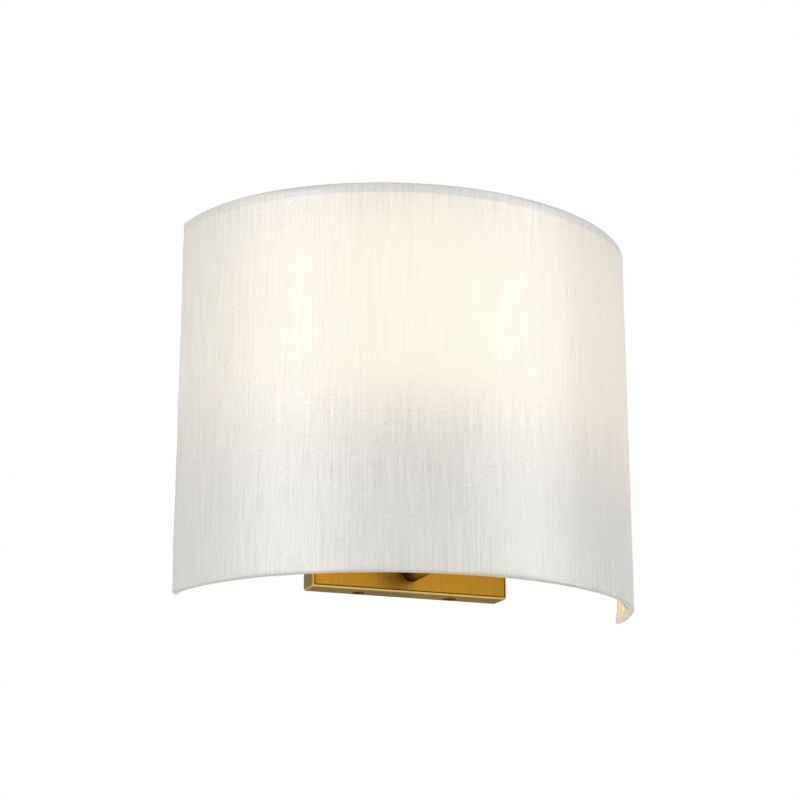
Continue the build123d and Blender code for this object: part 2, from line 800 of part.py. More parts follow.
with BuildPart() as block_screw:
    with BuildSketch(Plane.XZ):
        with Locations((block_way_pitch / 2, block_level)):
            Circle(block_screw_radius - brazing_gap)
    extrude(amount=block_front)
    with BuildSketch(Plane.XZ.offset(block_front)):
        with Locations((block_way_pitch / 2, block_level)):
            Circle(block_screw_head_radius)
    extrude(amount=block_screw_head_height)
write(block_screw, "block_screw")

# ---- Earth screw and its tag ----
tag_top = earth_screw_z + earth_tag_radius
with BuildPart() as earth_tag:
    with BuildSketch(Plane.XZ.offset(bracket_thickness)):
        with Locations((earth_screw_x, earth_screw_z)):
            Circle(earth_tag_radius)
        with Locations((earth_screw_x, tag_top)):
            Rectangle(2 * earth_barrel_radius, 2 * earth_barrel_radius)
        with Locations((earth_screw_x, earth_screw_z)):
            Circle(earth_screw_radius, mode=Mode.SUBTRACT)
    extrude(amount=earth_tag_thickness)
    with BuildSketch(Plane.XY.offset(tag_top)):
        with Locations((earth_screw_x, -bracket_thickness - earth_barrel_radius)):
            Circle(earth_barrel_radius)
    extrude(amount=earth_barrel_length)
write(earth_tag, "earth_tag")

with BuildPart() as earth_screw:
    with BuildSketch(Plane.XZ):
        with Locations((earth_screw_x, earth_screw_z)):
            Circle(earth_screw_radius - brazing_gap)
    extrude(amount=bracket_thickness + earth_tag_thickness)
    with BuildSketch(Plane.XZ.offset(bracket_thickness + earth_tag_thickness)):
        with Locations((earth_screw_x, earth_screw_z)):
            Circle(earth_screw_head_radius)
    extrude(amount=earth_screw_head_height)
write(earth_screw, "earth_screw")


# ---- Leads ----
def write_lead(points, radii, name):
    """Round lead along straight runs joined by arcs, from the terminal block downwards."""
    with BuildPart() as lead:
        with BuildLine() as path:
            FilletPolyline(*points, radius=radii)
        with BuildSketch(Plane(origin=points[0], z_dir=(0, 0, -1))):
            Circle(lead_radius)
        sweep(path=path.line)
    write(lead, name)


lead_end = lead_screw_spread / 2 - lead_screw_head_radius - brazing_gap
lead_end_level = holder_base + core_bottom - contact_strip_thickness - lead_radius
lamp_leads = (("live_lead", -1, -block_way_pitch), ("neutral_lead", 1, 0))
for lead_name, lead_side, way_x in lamp_leads:
    arm_x = lead_side * lead_spread
    write_lead(
        [
            (way_x, -clamp_out, block_foot + lead_in_clamp),
            (way_x, -clamp_out, block_foot - lead_drop),
            (arm_x, -clamp_out, block_foot - lead_gather),
            (arm_x, -clamp_out, arm_level),
            (arm_x, -lamp_out, arm_level),
            (arm_x, -lamp_out, lead_end_level),
            (lead_side * lead_end, -lamp_out, lead_end_level),
        ],
        [
            lead_easy_radius,
            lead_easy_radius,
            lead_bend_radius,
            arm_bend_radius,
            lead_bend_radius,
        ],
        lead_name,
    )

barrel_top = tag_top + earth_barrel_length
write_lead(
    [
        (block_way_pitch, -clamp_out, block_foot + lead_in_clamp),
        (block_way_pitch, -clamp_out, block_foot - lead_drop / 2),
        (earth_screw_x, -bracket_thickness - earth_barrel_radius, barrel_top + lead_drop / 2),
        (earth_screw_x, -bracket_thickness - earth_barrel_radius, barrel_top),
    ],
    [lead_easy_radius, lead_easy_radius / 2],
    "earth_lead",
)

# ---- Lamp ----
with BuildPart() as bulb_tip:
    with BuildSketch(lamp_section):
        ring_section(0, tip_radius, lamp_tip, lamp_tip + tip_height)
    revolve(axis=lamp_axis)
    fillet(bulb_tip.edges().group_by(Axis.Z)[0], radius=tip_height / 2)
write(bulb_tip, "bulb_tip")

plug_radius = cap_radius - cap_wall - piece_gap
with BuildPart() as bulb_insulator:
    with BuildSketch(lamp_section):
        with BuildLine():
            Polyline(
                (0, lamp_tip + tip_height + piece_gap),
                (tip_radius, lamp_tip + tip_height + piece_gap),
                (insulator_radius, lamp_tip + insulator_height),
                (plug_radius, lamp_tip + insulator_height),
                (plug_radius, lamp_tip + insulator_height + insulator_plug),
                (0, lamp_tip + insulator_height + insulator_plug),
                close=True,
            )
        make_face()
    revolve(axis=lamp_axis)
write(bulb_insulator, "bulb_insulator")

with BuildPart() as bulb_cap:
    with BuildSketch(lamp_section):
        ring_section(cap_radius - cap_wall, cap_radius, lamp_tip + insulator_height, lamp_tip + cap_top)
    revolve(axis=lamp_axis)
write(bulb_cap, "bulb_cap")


def flare(inset, bottom, top):
    """Arc of the housing's side, inset from its outside, from one height to another."""
    return ThreePointArc(
        (neck_radius - inset, bottom),
        (housing_waist_radius - inset, lamp_tip + housing_waist_height),
        (shoulder_radius - inset, top),
    )


with BuildPart() as bulb_housing:
    housing_foot = lamp_tip + cap_top
    housing_rim = lamp_tip + housing_top
    spigot_foot = housing_foot - housing_spigot
    deck_top = housing_rim - light_board_thickness - light_chip_thickness
    with BuildSketch(lamp_section):
        with BuildLine():
            outer_flare = flare(0, housing_foot, housing_rim)
            Polyline(
                outer_flare @ 1,
                (0, housing_rim),
                (0, spigot_foot),
                (plug_radius, spigot_foot),
                (plug_radius, housing_foot),
                outer_flare @ 0,
            )
        make_face()
    revolve(axis=lamp_axis)
    with BuildSketch(lamp_section):
        with BuildLine():
            inner_flare = flare(housing_wall, housing_foot, housing_rim)
            Polyline(
                inner_flare @ 1,
                (0, housing_rim),
                (0, spigot_foot),
                (plug_radius - housing_wall, spigot_foot),
                (plug_radius - housing_wall, housing_foot),
                inner_flare @ 0,
            )
        make_face()
        ring_section(0, shoulder_radius, deck_top - housing_deck, deck_top, mode=Mode.SUBTRACT)
    revolve(axis=lamp_axis, mode=Mode.SUBTRACT)
write(bulb_housing, "bulb_housing")

board_radius = shoulder_radius - housing_wall - light_board_margin
with BuildPart() as light_board:
    with BuildSketch(Plane.XY.offset(deck_top)):
        with Locations((0, -lamp_out)):
            Circle(board_radius)
    extrude(amount=light_board_thickness)
write(light_board, "light_board")

with BuildPart() as light_chips:
    with BuildSketch(Plane.XY.offset(deck_top + light_board_thickness)):
        with Locations((0, -lamp_out)):
            with PolarLocations(light_chip_circle, light_chip_count):
                Rectangle(light_chip_size, light_chip_size)
    extrude(amount=light_chip_thickness)
write(light_chips, "light_chips")

board_edge = plug_radius - housing_wall - piece_gap
driver_board_top = deck_top - housing_deck - piece_gap
with BuildPart() as driver_board:
    with BuildSketch(Plane.XY.offset(lamp_tip + driver_board_bottom)):
        with Locations((0, -lamp_out)):
            Rectangle(2 * board_edge, driver_board_thickness)
    extrude(amount=driver_board_top - lamp_tip - driver_board_bottom)
write(driver_board, "driver_board")


def dome(radius, rim, mode=Mode.ADD):
    """Half of the bulb's round section above a level, as wide as the given radius."""
    centre = lamp_tip + bulb_centre
    rim_radius = sqrt(radius**2 - (centre - rim) ** 2)
    with BuildLine() as outline:
        wall = ThreePointArc((rim_radius, rim), (radius, centre), (0, centre + radius))
        Polyline(wall @ 1, (0, rim), wall @ 0)
    make_face(outline.edges(), mode=mode)


with BuildPart() as bulb_diffuser:
    with BuildSketch(lamp_section):
        dome(bulb_radius, housing_rim + piece_gap)
        dome(bulb_radius - diffuser_wall, housing_rim + piece_gap, mode=Mode.SUBTRACT)
    revolve(axis=lamp_axis)
write(bulb_diffuser, "bulb_diffuser")
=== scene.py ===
"""Fabric shade wall light: the looks of its pieces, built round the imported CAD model.

Everything is in metres, in the model's own frame: +X to the right, +Y into the wall, +Z up.
The origin is the centre of the backplate, on the wall.
"""

import bmesh
import bpy
import numpy as np
from bpy.props import FloatProperty, FloatVectorProperty, PointerProperty
from bpy.types import Operator, Panel, PropertyGroup
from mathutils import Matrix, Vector


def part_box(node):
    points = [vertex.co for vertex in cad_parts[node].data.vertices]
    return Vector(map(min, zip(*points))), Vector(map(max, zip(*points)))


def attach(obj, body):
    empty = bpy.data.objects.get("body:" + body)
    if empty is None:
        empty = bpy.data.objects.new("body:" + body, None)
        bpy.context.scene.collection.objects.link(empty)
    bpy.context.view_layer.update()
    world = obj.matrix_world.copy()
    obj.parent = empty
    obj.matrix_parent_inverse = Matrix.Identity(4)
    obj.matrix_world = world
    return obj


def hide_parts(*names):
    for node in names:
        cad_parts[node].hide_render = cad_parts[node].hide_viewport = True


bl_info = {
    "name": "Fabric shade wall light",
    "version": (1, 0, 0),
    "blender": (4, 5, 0),
    "location": "3D View > Sidebar > Wall light",
    "description": "Cloth, brass, lampholder, lamp and studio for a half-round shade wall light",
    "category": "Object",
}

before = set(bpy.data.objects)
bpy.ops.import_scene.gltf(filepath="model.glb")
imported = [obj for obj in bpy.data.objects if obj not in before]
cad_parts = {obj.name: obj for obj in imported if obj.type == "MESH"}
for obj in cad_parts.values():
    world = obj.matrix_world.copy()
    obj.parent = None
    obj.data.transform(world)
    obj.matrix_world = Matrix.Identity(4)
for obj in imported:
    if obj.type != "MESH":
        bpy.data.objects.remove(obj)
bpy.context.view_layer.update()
CLOTH_COLUMNS, CLOTH_ROWS = 250, 80
SCREW_COLUMNS, TUBE_COLUMNS = 48, 72
ROWS_A_TURN = 14
FLOOR_REACH = 6.0
WAVE_BANDS = 3.183  # bands a metre of a wave texture of scale 1
EARTH_STRIPE = 0.0044  # width of one green and one yellow stripe together

# The cloth: the depth up to which a point counts as on its face, and how its hems lie and glow
ON_FACE = 1e-6
HEM_LAP = 1.3  # cloth thicknesses between two hems that cross, at full depth
HEM_GLOW = 0.35  # share of the lining's glow on the turned-in cloth
SIDE_HEM_LOSS = 0.25  # share of the lamp's glow that the upright hems hold back

# Heights between which each part of the cloth's glow comes up, and fades again
DIRECT_RISE, DIRECT_FADE = (0.013, 0.085), (0.11, 0.215)
EVEN_RISE, EVEN_FADE = (-0.025, 0.07), (0.13, 0.19)

# The even glow's gain to the right, its loss at the top, and its loss to both sides and where that comes
RIGHT_GAIN, TOP_LOSS, SIDE_LOSS = 0.12, 0.3, 0.3
SIDE_FADE = (0.10, 0.15)


def low(node):
    """Lowest corner of a CAD node, as an array."""
    return np.array(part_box(node)[0])


def high(node):
    """Highest corner of a CAD node, as an array."""
    return np.array(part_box(node)[1])


LAMP_AXIS = (low("bulb_diffuser") + high("bulb_diffuser"))[:2] / 2
SHADE_LOW, SHADE_HIGH = low("shade_fabric"), high("shade_fabric")


def length(label, description, default, smallest=0.0):
    """Float property that holds a length in metres."""
    return FloatProperty(
        name=label,
        description=description,
        default=default,
        min=smallest,
        precision=5,
        subtype="DISTANCE",
        unit="LENGTH",
    )


def colour(label, description, default):
    """Colour property, linear red, green and blue."""
    return FloatVectorProperty(
        name=label, description=description, default=default, min=0.0, max=1.0, size=3, subtype="COLOR"
    )


def share(label, description, default, largest=1.0):
    """Float property from nothing to its largest value."""
    return FloatProperty(name=label, description=description, default=default, min=0.0, max=largest)


def turn(label, description, degrees):
    """Float property that holds an angle, given in degrees."""
    angle = float(np.radians(degrees))
    return FloatProperty(name=label, description=description, default=angle, subtype="ANGLE")


def power(label, description, default):
    """Float property that holds a light's power in watts."""
    return FloatProperty(name=label, description=description, default=default, min=0.0, unit="POWER")


class ShadeSettings(PropertyGroup):
    """Sizes and colours of the shade."""

    front_radius: length("Front radius", "Radius of the front arc in plan", 0.163, 0.05)
    front_half_angle: turn("Front half angle", "Where the front arc passes into the side arcs", 40.0)
    cloth_thickness: length("Cloth thickness", "Thickness of the cloth", 0.0004, 0.0001)
    edge_thickness: length("Edge thickness", "Thickness of the turned edge round its wire", 0.0032, 0.001)
    hem_depth: length("Hem depth", "Depth of the hem's end, on the lining, behind the face", 0.0014, 0.0005)
    edge_radius: length("Edge radius", "Outside radius of the turned edge", 0.0015, 0.0005)
    hem_width: length("Hem width", "Cloth turned in at every edge", 0.0065, 0.002)
    ripple: length("Ripple", "How far the cloth stands off its lining here and there", 0.00035)
    edge_wave: length("Edge wave", "How far the upright edges wave", 0.00035)
    cloth_colour: colour("Cloth colour", "Colour of the cloth", (0.87, 0.855, 0.825))
    lining_colour: colour("Lining colour", "Colour of the lining", (0.85, 0.82, 0.76))
    direct_colour: colour("Direct glow colour", "Light that comes straight from the lamp", (1.0, 0.97, 0.56))
    even_colour: colour("Even glow colour", "Light that the lining scatters", (1.0, 0.58, 0.10))
    glow_direct: share("Direct glow", "Glow where the lamp is nearest the cloth", 0.19, 4.0)
    glow_even: share("Even glow", "Glow of the light that fills the shade", 0.15, 4.0)
    glow_shift: length("Glow shift", "How far left of the lamp the glow is brightest", 0.020)
    inner_colour: colour("Inner glow colour", "Light that the lining sends back", (1.0, 0.76, 0.40))
    inner_glow: share("Inner glow", "Strength of the lit lining", 0.85, 4.0)


class BrassSettings(PropertyGroup):
    """Finish of the backplate, arm and cover screws."""

    brass_colour: colour("Brass colour", "Colour of the brushed brass", (0.55, 0.352, 0.058))
    patina_colour: colour("Patina colour", "Colour of its darker streaks", (0.38, 0.215, 0.026))
    # Painted shade: the dark colour painted on the arm, the screws and beside the arm, and in the painted
    # dark reflection round the plate's front
    painted_shade_colour: colour("Tarnish colour", "Colour of tarnish and gathered lacquer", (0.08, 0.04, 0.006))
    # Painted highlight: colour of the pale band painted on the plate's edge
    highlight_colour: colour("Rubbed edge colour", "Colour of the rubbed edge", (0.80, 0.62, 0.26))
    # Painted reflection: colour painted on the plate's sides in place of what they reflect
    side_reflection_colour: colour("Side colour", "Colour of the plate's narrow, pale sides", (0.36, 0.242, 0.14))
    gloss_tint: colour("Gloss tint", "Tint of the gloss seen at a low angle", (0.33, 0.352, 0.38))
    # Place and half width of the painted dark reflection round the plate's front
    edge_line: length("Edge line", "From the plate's edge to the middle of its dark line", 0.0015)
    edge_line_half: length("Edge line half", "Half the width of the dark line", 0.00055, 0.0001)
    # Width and strength of the painted highlight on the plate's edge
    highlit_half: length("Rubbed half", "Half the width of the rubbed edge", 0.0006, 0.0001)
    highlit_share: share("Rubbed share", "How far the edge is rubbed", 0.65)
    # Painted shade beside the arm: how dark it is and how far it reaches
    arm_shade_share: share("Cloud share", "How dark the cloud of tarnish beside the arm is", 0.36)
    arm_shade_reach: length("Cloud reach", "How far the cloud of tarnish reaches", 0.018, 0.005)
    # Painted shade on the arm: how far in front of the plate's face it deepens
    painted_shade_reach: length("Tarnish reach", "How far from the plate's face tarnish deepens", 0.016, 0.005)
    roughness: share("Roughness", "Roughness of the brushed face", 0.36)
    grain: length("Grain", "Width of the brush lines", 0.0003, 0.00005)
    screw_head: length("Screw head", "Height of the cover screws' heads", 0.0022, 0.0005)
    screw_dome: length("Screw dome", "How far the heads are crowned", 0.0011)
    screw_shank: length("Screw shank", "Radius of the cover screws' shanks", 0.00195, 0.0005)


class LampSettings(PropertyGroup):
    """The lamp and its holder."""

    glow_colour: colour("Light colour", "Colour of the lamp's light", (1.0, 0.80, 0.52))
    glow_strength: share("Light strength", "Strength of the lamp's light", 6.0, 50.0)
    cap_pitch: length("Cap pitch", "Rise of the lamp cap's thread per turn", 0.003629, 0.001)
    cap_bore: length("Cap bore", "Inside radius of the lamp's cap", 0.01252, 0.005)
    cap_root: length("Cap root", "Radius of the lamp cap's thread in its groove", 0.01262, 0.005)
    cap_crest: length("Cap crest", "Radius of the lamp cap's thread on its crest", 0.01308, 0.005)
    ring_pitch: length("Ring pitch", "Rise of the skirt's thread per turn", 0.0025, 0.001)
    ring_bore: length("Ring bore", "Inside radius of the skirt's thread", 0.0199, 0.005)
    ring_root: length("Ring root", "Radius of the skirt's thread in its groove", 0.02002, 0.005)
    ring_crest: length("Ring crest", "Radius of the skirt's thread on its crest", 0.02026, 0.005)
    ring_start: length("Ring start", "From the shade ring's foot up to the thread", 0.0002)
    ring_stop: length("Ring stop", "From the thread up to the skirt's top", 0.0009)


class StageSettings(PropertyGroup):
    """Floor, lights and camera."""

    floor_drop: length("Floor drop", "Floor below the light's centre", 1.3)
    fill: share("Fill", "Strength of the even light", 0.02, 3.0)
    left_light: power("Left light", "Power of the light at the left", 20.6)
    left_turn: turn("Left light's place", "How far round from the front the left light stands", -63.0)
    right_light: power("Right light", "Power of the light at the right", 19.0)
    right_turn: turn("Right light's place", "How far round from the front the right light stands", 47.0)
    light_rise: turn("Light rise", "How far above the shade's middle both lights stand", 5.0)
    light_distance: length("Light distance", "From the shade's middle to both lights", 1.7, 0.5)
    light_width: length("Light width", "Width of both lights", 0.4, 0.05)
    light_height: length("Light height", "Height of both lights", 1.6, 0.05)
    lens: FloatProperty(
        name="Lens", description="Focal length on a 36 mm sensor", default=88.53, unit="CAMERA"
    )
    camera_place: FloatVectorProperty(
        name="Camera place",
        description="Where the photograph was taken from",
        default=(-0.4406, -1.1351, -0.2696),
        subtype="TRANSLATION",
        unit="LENGTH",
    )
    camera_turn: turn("Camera turn", "Turn to the right", 21.169)
    camera_tilt: turn("Camera tilt", "Tilt upwards", 15.958)


# ---- Meshes from grids of points ----


def grid_quads(rows, columns, wrap_rows=False, wrap_columns=True):
    """Quads that join neighbouring rows and columns of a grid, as point numbers.

    A wrapped direction joins its last line to its first.
    """
    index = np.arange(rows * columns).reshape(rows, columns)
    if wrap_rows:
        index = np.vstack([index, index[:1]])
    if wrap_columns:
        index = np.hstack([index, index[:, :1]])
    quads = np.stack([index[:-1, :-1], index[:-1, 1:], index[1:, 1:], index[1:, :-1]], -1)
    return quads.reshape(-1, 4)


def mesh_piece(name, points, faces, body):
    """Piece whose mesh has these points and faces, and which moves with a body."""
    mesh = bpy.data.meshes.new(name)
    mesh.from_pydata(points.reshape(-1, 3).tolist(), [], faces.tolist())
    mesh.shade_smooth()
    piece = bpy.data.objects.new(name, mesh)
    bpy.context.scene.collection.objects.link(piece)
    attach(piece, body)
    return piece


def close_up(piece):
    """Merges the points at poles and seams and turns every face of a closed piece outwards."""
    shape = bmesh.new()
    shape.from_mesh(piece.data)
    bmesh.ops.remove_doubles(shape, verts=shape.verts, dist=1e-6)
    bmesh.ops.recalc_face_normals(shape, faces=shape.faces)
    shape.to_mesh(piece.data)
    shape.free()
    piece.data.shade_smooth()


def sharpen(piece, angle):
    """Keeps edges sharper than an angle in degrees crisp, and the rest smooth."""
    piece.data.set_sharp_from_angle(angle=float(np.radians(angle)))


def turned(radius, height, columns, centre):
    """Points of a turned shape: each column is the profile (radius, height), carried round a centre.

    radius and height hold one number a row, or one a row and column where the shape changes on its way
    round.
    """
    angle = np.linspace(0, 2 * np.pi, columns, endpoint=False)
    radius, height = np.asarray(radius, float), np.asarray(height, float)
    if radius.ndim == 1:
        radius = radius[:, None]
    if height.ndim == 1:
        height = height[:, None]
    radius = np.broadcast_to(radius, (radius.shape[0], columns))
    height = np.broadcast_to(height, radius.shape)
    return np.stack([centre[0] + radius * np.cos(angle), centre[1] + radius * np.sin(angle), height], -1)


def smooth(value, start, end):
    """Smooth step: 0 before start, 1 after end, and 3t^2 - 2t^3 between."""
    t = np.clip((value - start) / (end - start), 0, 1)
    return t * t * (3 - 2 * t)


# ---- Materials ----


class Finish:
    """A node material with one Principled shader, and short ways to add to it."""

    def __init__(self, name, base, roughness, metallic=0.0):
        self.material = bpy.data.materials.new(name)
        self.material.use_nodes = True
        self.tree = self.material.node_tree
        self.shader = self.tree.nodes["Principled BSDF"]
        self.set("Base Color", (*base, 1.0))
        self.set("Roughness", roughness)
        self.set("Metallic", metallic)

    def set(self, socket, value):
        """Sets a number or colour on the shader's own socket."""
        self.shader.inputs[socket].default_value = value

    def node(self, kind, **inputs):
        """New node of a kind, with its inputs set or linked by name."""
        made = self.tree.nodes.new(kind)
        for key, value in inputs.items():
            self.put(made.inputs[key.replace("_", " ")], value)
        return made

    def put(self, socket, value):
        """Links a socket to another's output, or sets its value."""
        if isinstance(value, bpy.types.NodeSocket):
            self.tree.links.new(value, socket)
        else:
            socket.default_value = value

    def place(self, scale, source="Object"):
        """Object or UV coordinates, times a scale for each axis."""
        coordinates = self.node("ShaderNodeTexCoord")
        mapping = self.node("ShaderNodeMapping", Vector=coordinates.outputs[source], Scale=scale)
        return mapping.outputs["Vector"]

    def noise(self, scale, detail=3.0, roughness=0.55, source="Object"):
        """Noise whose features are 1 / scale metres across along each axis."""
        made = self.node("ShaderNodeTexNoise", Vector=self.place(scale, source), Scale=1.0)
        made.inputs["Detail"].default_value = detail
        made.inputs["Roughness"].default_value = roughness
        return made.outputs["Fac"]

    def threads(self, spacing, across, source="UV", wander=0.6):
        """Even bands one thread apart, across X or Y of the source, which wander a little."""
        made = self.tree.nodes.new("ShaderNodeTexWave")
        made.wave_type = "BANDS"
        made.bands_direction = across
        made.wave_profile = "SIN"
        self.put(made.inputs["Vector"], self.place((1.0, 1.0, 1.0), source))
        made.inputs["Scale"].default_value = 1 / (WAVE_BANDS * spacing)
        made.inputs["Distortion"].default_value = wander
        made.inputs["Detail"].default_value = 2.0
        made.inputs["Detail Scale"].default_value = 1.5
        return made.outputs["Fac"]

    def math(self, operation, first, second=0.0):
        """One operation on two numbers."""
        made = self.tree.nodes.new("ShaderNodeMath")
        made.operation = operation
        self.put(made.inputs[0], first)
        self.put(made.inputs[1], second)
        return made.outputs[0]

    def spread(self, value, new_low, new_high, old_low=0.3, old_high=0.7):
        """A number brought from its old range to a new one, and held inside it."""
        made = self.node("ShaderNodeMapRange", Value=value)
        ends = {"From Min": old_low, "From Max": old_high, "To Min": new_low, "To Max": new_high}
        for socket, number in ends.items():
            made.inputs[socket].default_value = number
        return made.outputs["Result"]

    def mix(self, factor, first, second):
        """Colour between two others."""
        made = self.tree.nodes.new("ShaderNodeMix")
        made.data_type = "RGBA"
        self.put(made.inputs["Factor"], factor)
        sockets = [socket for socket in made.inputs if socket.type == "RGBA"]
        for socket, value in zip(sockets, (first, second)):
            self.put(socket, value if isinstance(value, bpy.types.NodeSocket) else (*value, 1.0))
        return next(socket for socket in made.outputs if socket.type == "RGBA")

    def coordinates(self):
        """The object's own X, Y and Z, as a node with an output for each."""
        return self.node("ShaderNodeSeparateXYZ", Vector=self.place((1.0, 1.0, 1.0)))

    def distance(self, parts, axes, centre):
        """Distance from a line along the third axis, from two of the object's coordinates."""
        squares = [
            self.math("POWER", self.math("SUBTRACT", parts.outputs[axis], float(middle)), 2.0)
            for axis, middle in zip(axes, centre)
        ]
        return self.math("SQRT", self.math("ADD", *squares))

    def scaled(self, tint, value):
        """A colour times a number."""
        made = self.tree.nodes.new("ShaderNodeVectorMath")
        made.operation = "SCALE"
        self.put(made.inputs[0], tint if isinstance(tint, bpy.types.NodeSocket) else tuple(tint))
        self.put(made.inputs["Scale"], value)
        return made.outputs["Vector"]

    def band(self, value, middle, half):
        """1 near the middle of a band, and 0 from half the band's width away."""
        away = self.math("ABSOLUTE", self.math("SUBTRACT", value, middle))
        return self.spread(away, 1.0, 0.0, half * 0.3, half)

    def link(self, socket, value):
        """Links a value to the shader."""
        self.put(self.shader.inputs[socket], value)

    def bump(self, height, distance, strength, under=None):
        """Bump from a height, over another bump where one is given."""
        made = self.node("ShaderNodeBump", Height=height)
        made.inputs["Strength"].default_value = strength
        made.inputs["Distance"].default_value = distance
        if under is not None:
            self.put(made.inputs["Normal"], under)
        self.link("Normal", made.outputs["Normal"])
        return made.outputs["Normal"]


def coat(finish, *names):
    """Gives a finish to CAD nodes or pieces, in place of what they had."""
    for name in names:
        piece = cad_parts.get(name) or bpy.data.objects[name]
        piece.data.materials.clear()
        piece.data.materials.append(finish.material)


def cloth_finish(settings):
    """Ivory cloth with upright slub ribs, a fine cross weave and the lamp's glow.

    Each noise is long up the cloth and narrow across it, apart from the picks, which lie across.
    """
    made = Finish("ivory slub cloth", settings.cloth_colour, 0.42)
    made.set("IOR", 1.6)
    made.set("Specular IOR Level", 1.0)
    made.set("Sheen Weight", 0.15)
    made.set("Sheen Roughness", 0.5)
    ribs = made.noise((430.0, 16.0, 1.0), 3.0, 0.6, "UV")
    lines = made.noise((1500.0, 24.0, 1.0), 2.0, 0.6, "UV")
    broad = made.noise((75.0, 5.0, 1.0), 2.0, 0.5, "UV")
    grain = made.noise((1600.0, 500.0, 1.0), 2.0, 0.7, "UV")
    picks = made.noise((330.0, 1500.0, 1.0), 2.0, 0.6, "UV")
    warp = made.threads(0.00062, "X")
    weft = made.threads(0.00050, "Y")
    tone = made.spread(ribs, 0.97, 1.025)
    changes = ((broad, 0.985, 1.012), (lines, 0.89, 1.075), (grain, 0.90, 1.07), (picks, 0.95, 1.04))
    for pattern, dark, pale in changes:
        tone = made.math("MULTIPLY", tone, made.spread(pattern, dark, pale))
    made.link("Base Color", made.scaled(settings.cloth_colour, tone))
    made.link("Roughness", made.spread(ribs, 0.38, 0.47))
    attribute = made.tree.nodes.new("ShaderNodeAttribute")
    attribute.attribute_name = "lamp_glow"
    made.link("Emission Color", made.scaled(attribute.outputs["Color"], tone))
    made.set("Emission Strength", 1.0)
    relief = made.bump(made.math("MULTIPLY", warp, weft), 0.00010, 0.5)
    relief = made.bump(ribs, 0.00025, 0.7, relief)
    relief = made.bump(lines, 0.00022, 0.7, relief)
    made.bump(grain, 0.00010, 0.5, relief)
    return made


def lining_finish(settings):
    """White laminate inside the shade, with the faint mark of the cloth behind it.

    Its glow, painted light in place of the lamp's light on it, fades with the distance from the lamp's axis,
    and upwards.
    """
    made = Finish("white shade lining", settings.lining_colour, 0.55)
    parts = made.coordinates()
    away = made.spread(made.distance(parts, "XY", LAMP_AXIS), 1.0, 0.5, 0.07, 0.15)
    lit = made.math("MULTIPLY", away, made.spread(parts.outputs["Z"], 1.0, 0.4, 0.0, 0.1))
    made.link("Emission Color", made.scaled(settings.inner_colour, lit))
    made.set("Emission Strength", settings.inner_glow)
    mark = made.noise((300.0, 300.0, 14.0), 3.0)
    tone = made.spread(mark, 0.97, 1.02)
    made.link("Base Color", made.scaled(settings.lining_colour, tone))
    made.bump(mark, 0.00005, 0.4)
    return made


def brass_finish(settings, name, axis_scales, patina=1.0, tarnish=0.0):
    """Brushed brass: fine lines along one axis, darker streaks and a soft, uneven gloss.

    tarnish is the share of painted shade all over: a dark colour in place of the shadow on the arm and
    screws.
    It rises to nearly the whole close to and behind the backplate's face, as painted shade where they meet
    the plate.
    Returns the finish and the socket of its colour.
    """
    made = Finish(name, settings.brass_colour, settings.roughness, 1.0)
    lines = made.noise(axis_scales, 3.0, 0.7)
    blush = made.noise((14.0, 14.0, 14.0), 3.0)
    streak = made.math("MULTIPLY", made.spread(lines, 0.0, 0.75), patina)
    cloud = made.spread(blush, 0.0, 0.3 * patina)
    tint = made.mix(streak, settings.brass_colour, settings.patina_colour)
    tint = made.mix(cloud, tint, settings.patina_colour)
    if tarnish > 0:
        parts = made.coordinates()
        face = float(low("backplate")[1])
        # Painted shade: darker towards and behind the plate's face, where the arm and screws meet it
        dark = made.spread(parts.outputs["Y"], tarnish, 0.95, face - settings.painted_shade_reach, face - 0.001)
        tint = made.mix(dark, tint, settings.painted_shade_colour)
    made.link("Base Color", tint)
    rough = settings.roughness
    made.link("Roughness", made.spread(lines, rough * 0.85, rough * 1.25))
    made.set("Specular Tint", (*settings.gloss_tint, 1.0))
    made.bump(lines, 0.00002, 0.5)
    return made, tint


def plate_finish(settings, axis_scales):
    """Brushed brass with a painted dark reflection in a line round the front, a painted highlight on the
    edge and sides in a greyer colour as a painted reflection.

    A cloud of painted shade lies beside the arm.
    """
    made, tint = brass_finish(settings, "brushed brass plate", axis_scales)
    lowest, highest = low("backplate"), high("backplate")
    root = (low("arm_nut") + high("arm_nut")) / 2
    parts = made.coordinates()
    # Painted shade: a dark cloud beside and below the arm's root, in place of the arm's shadow and dark
    # reflection on the plate
    beside_arm = made.distance(parts, "XZ", (root[0] - 0.012, root[2] - 0.004))
    cloud = made.spread(beside_arm, settings.arm_shade_share, 0.0, 0.002, settings.arm_shade_reach)
    tint = made.mix(cloud, tint, settings.painted_shade_colour)
    to_side = made.math("SUBTRACT", float(highest[0]), made.math("ABSOLUTE", parts.outputs["X"]))
    to_bottom = made.math("SUBTRACT", parts.outputs["Z"], float(lowest[2]))
    inside = made.math("MINIMUM", to_side, to_bottom)
    # Painted reflection: the narrow sides take a greyer colour for what they reflect
    at_side = made.spread(to_side, 1.0, 0.0, 0.00005, 0.0003)
    # Painted reflection: a dark line just in from the front's bottom and side edges, where the bent edge
    # reflects dark surroundings
    painted_dark_reflection = made.band(inside, settings.edge_line, settings.edge_line_half)
    # Painted highlight: a pale band right on the edge, where the bent edge reflects bright surroundings
    highlit = made.band(inside, settings.highlit_half, settings.highlit_half)
    tint = made.mix(at_side, tint, settings.side_reflection_colour)
    tint = made.mix(painted_dark_reflection, tint, settings.painted_shade_colour)
    tint = made.mix(made.math("MULTIPLY", highlit, settings.highlit_share), tint, settings.highlight_colour)
    made.link("Base Color", tint)
    return made


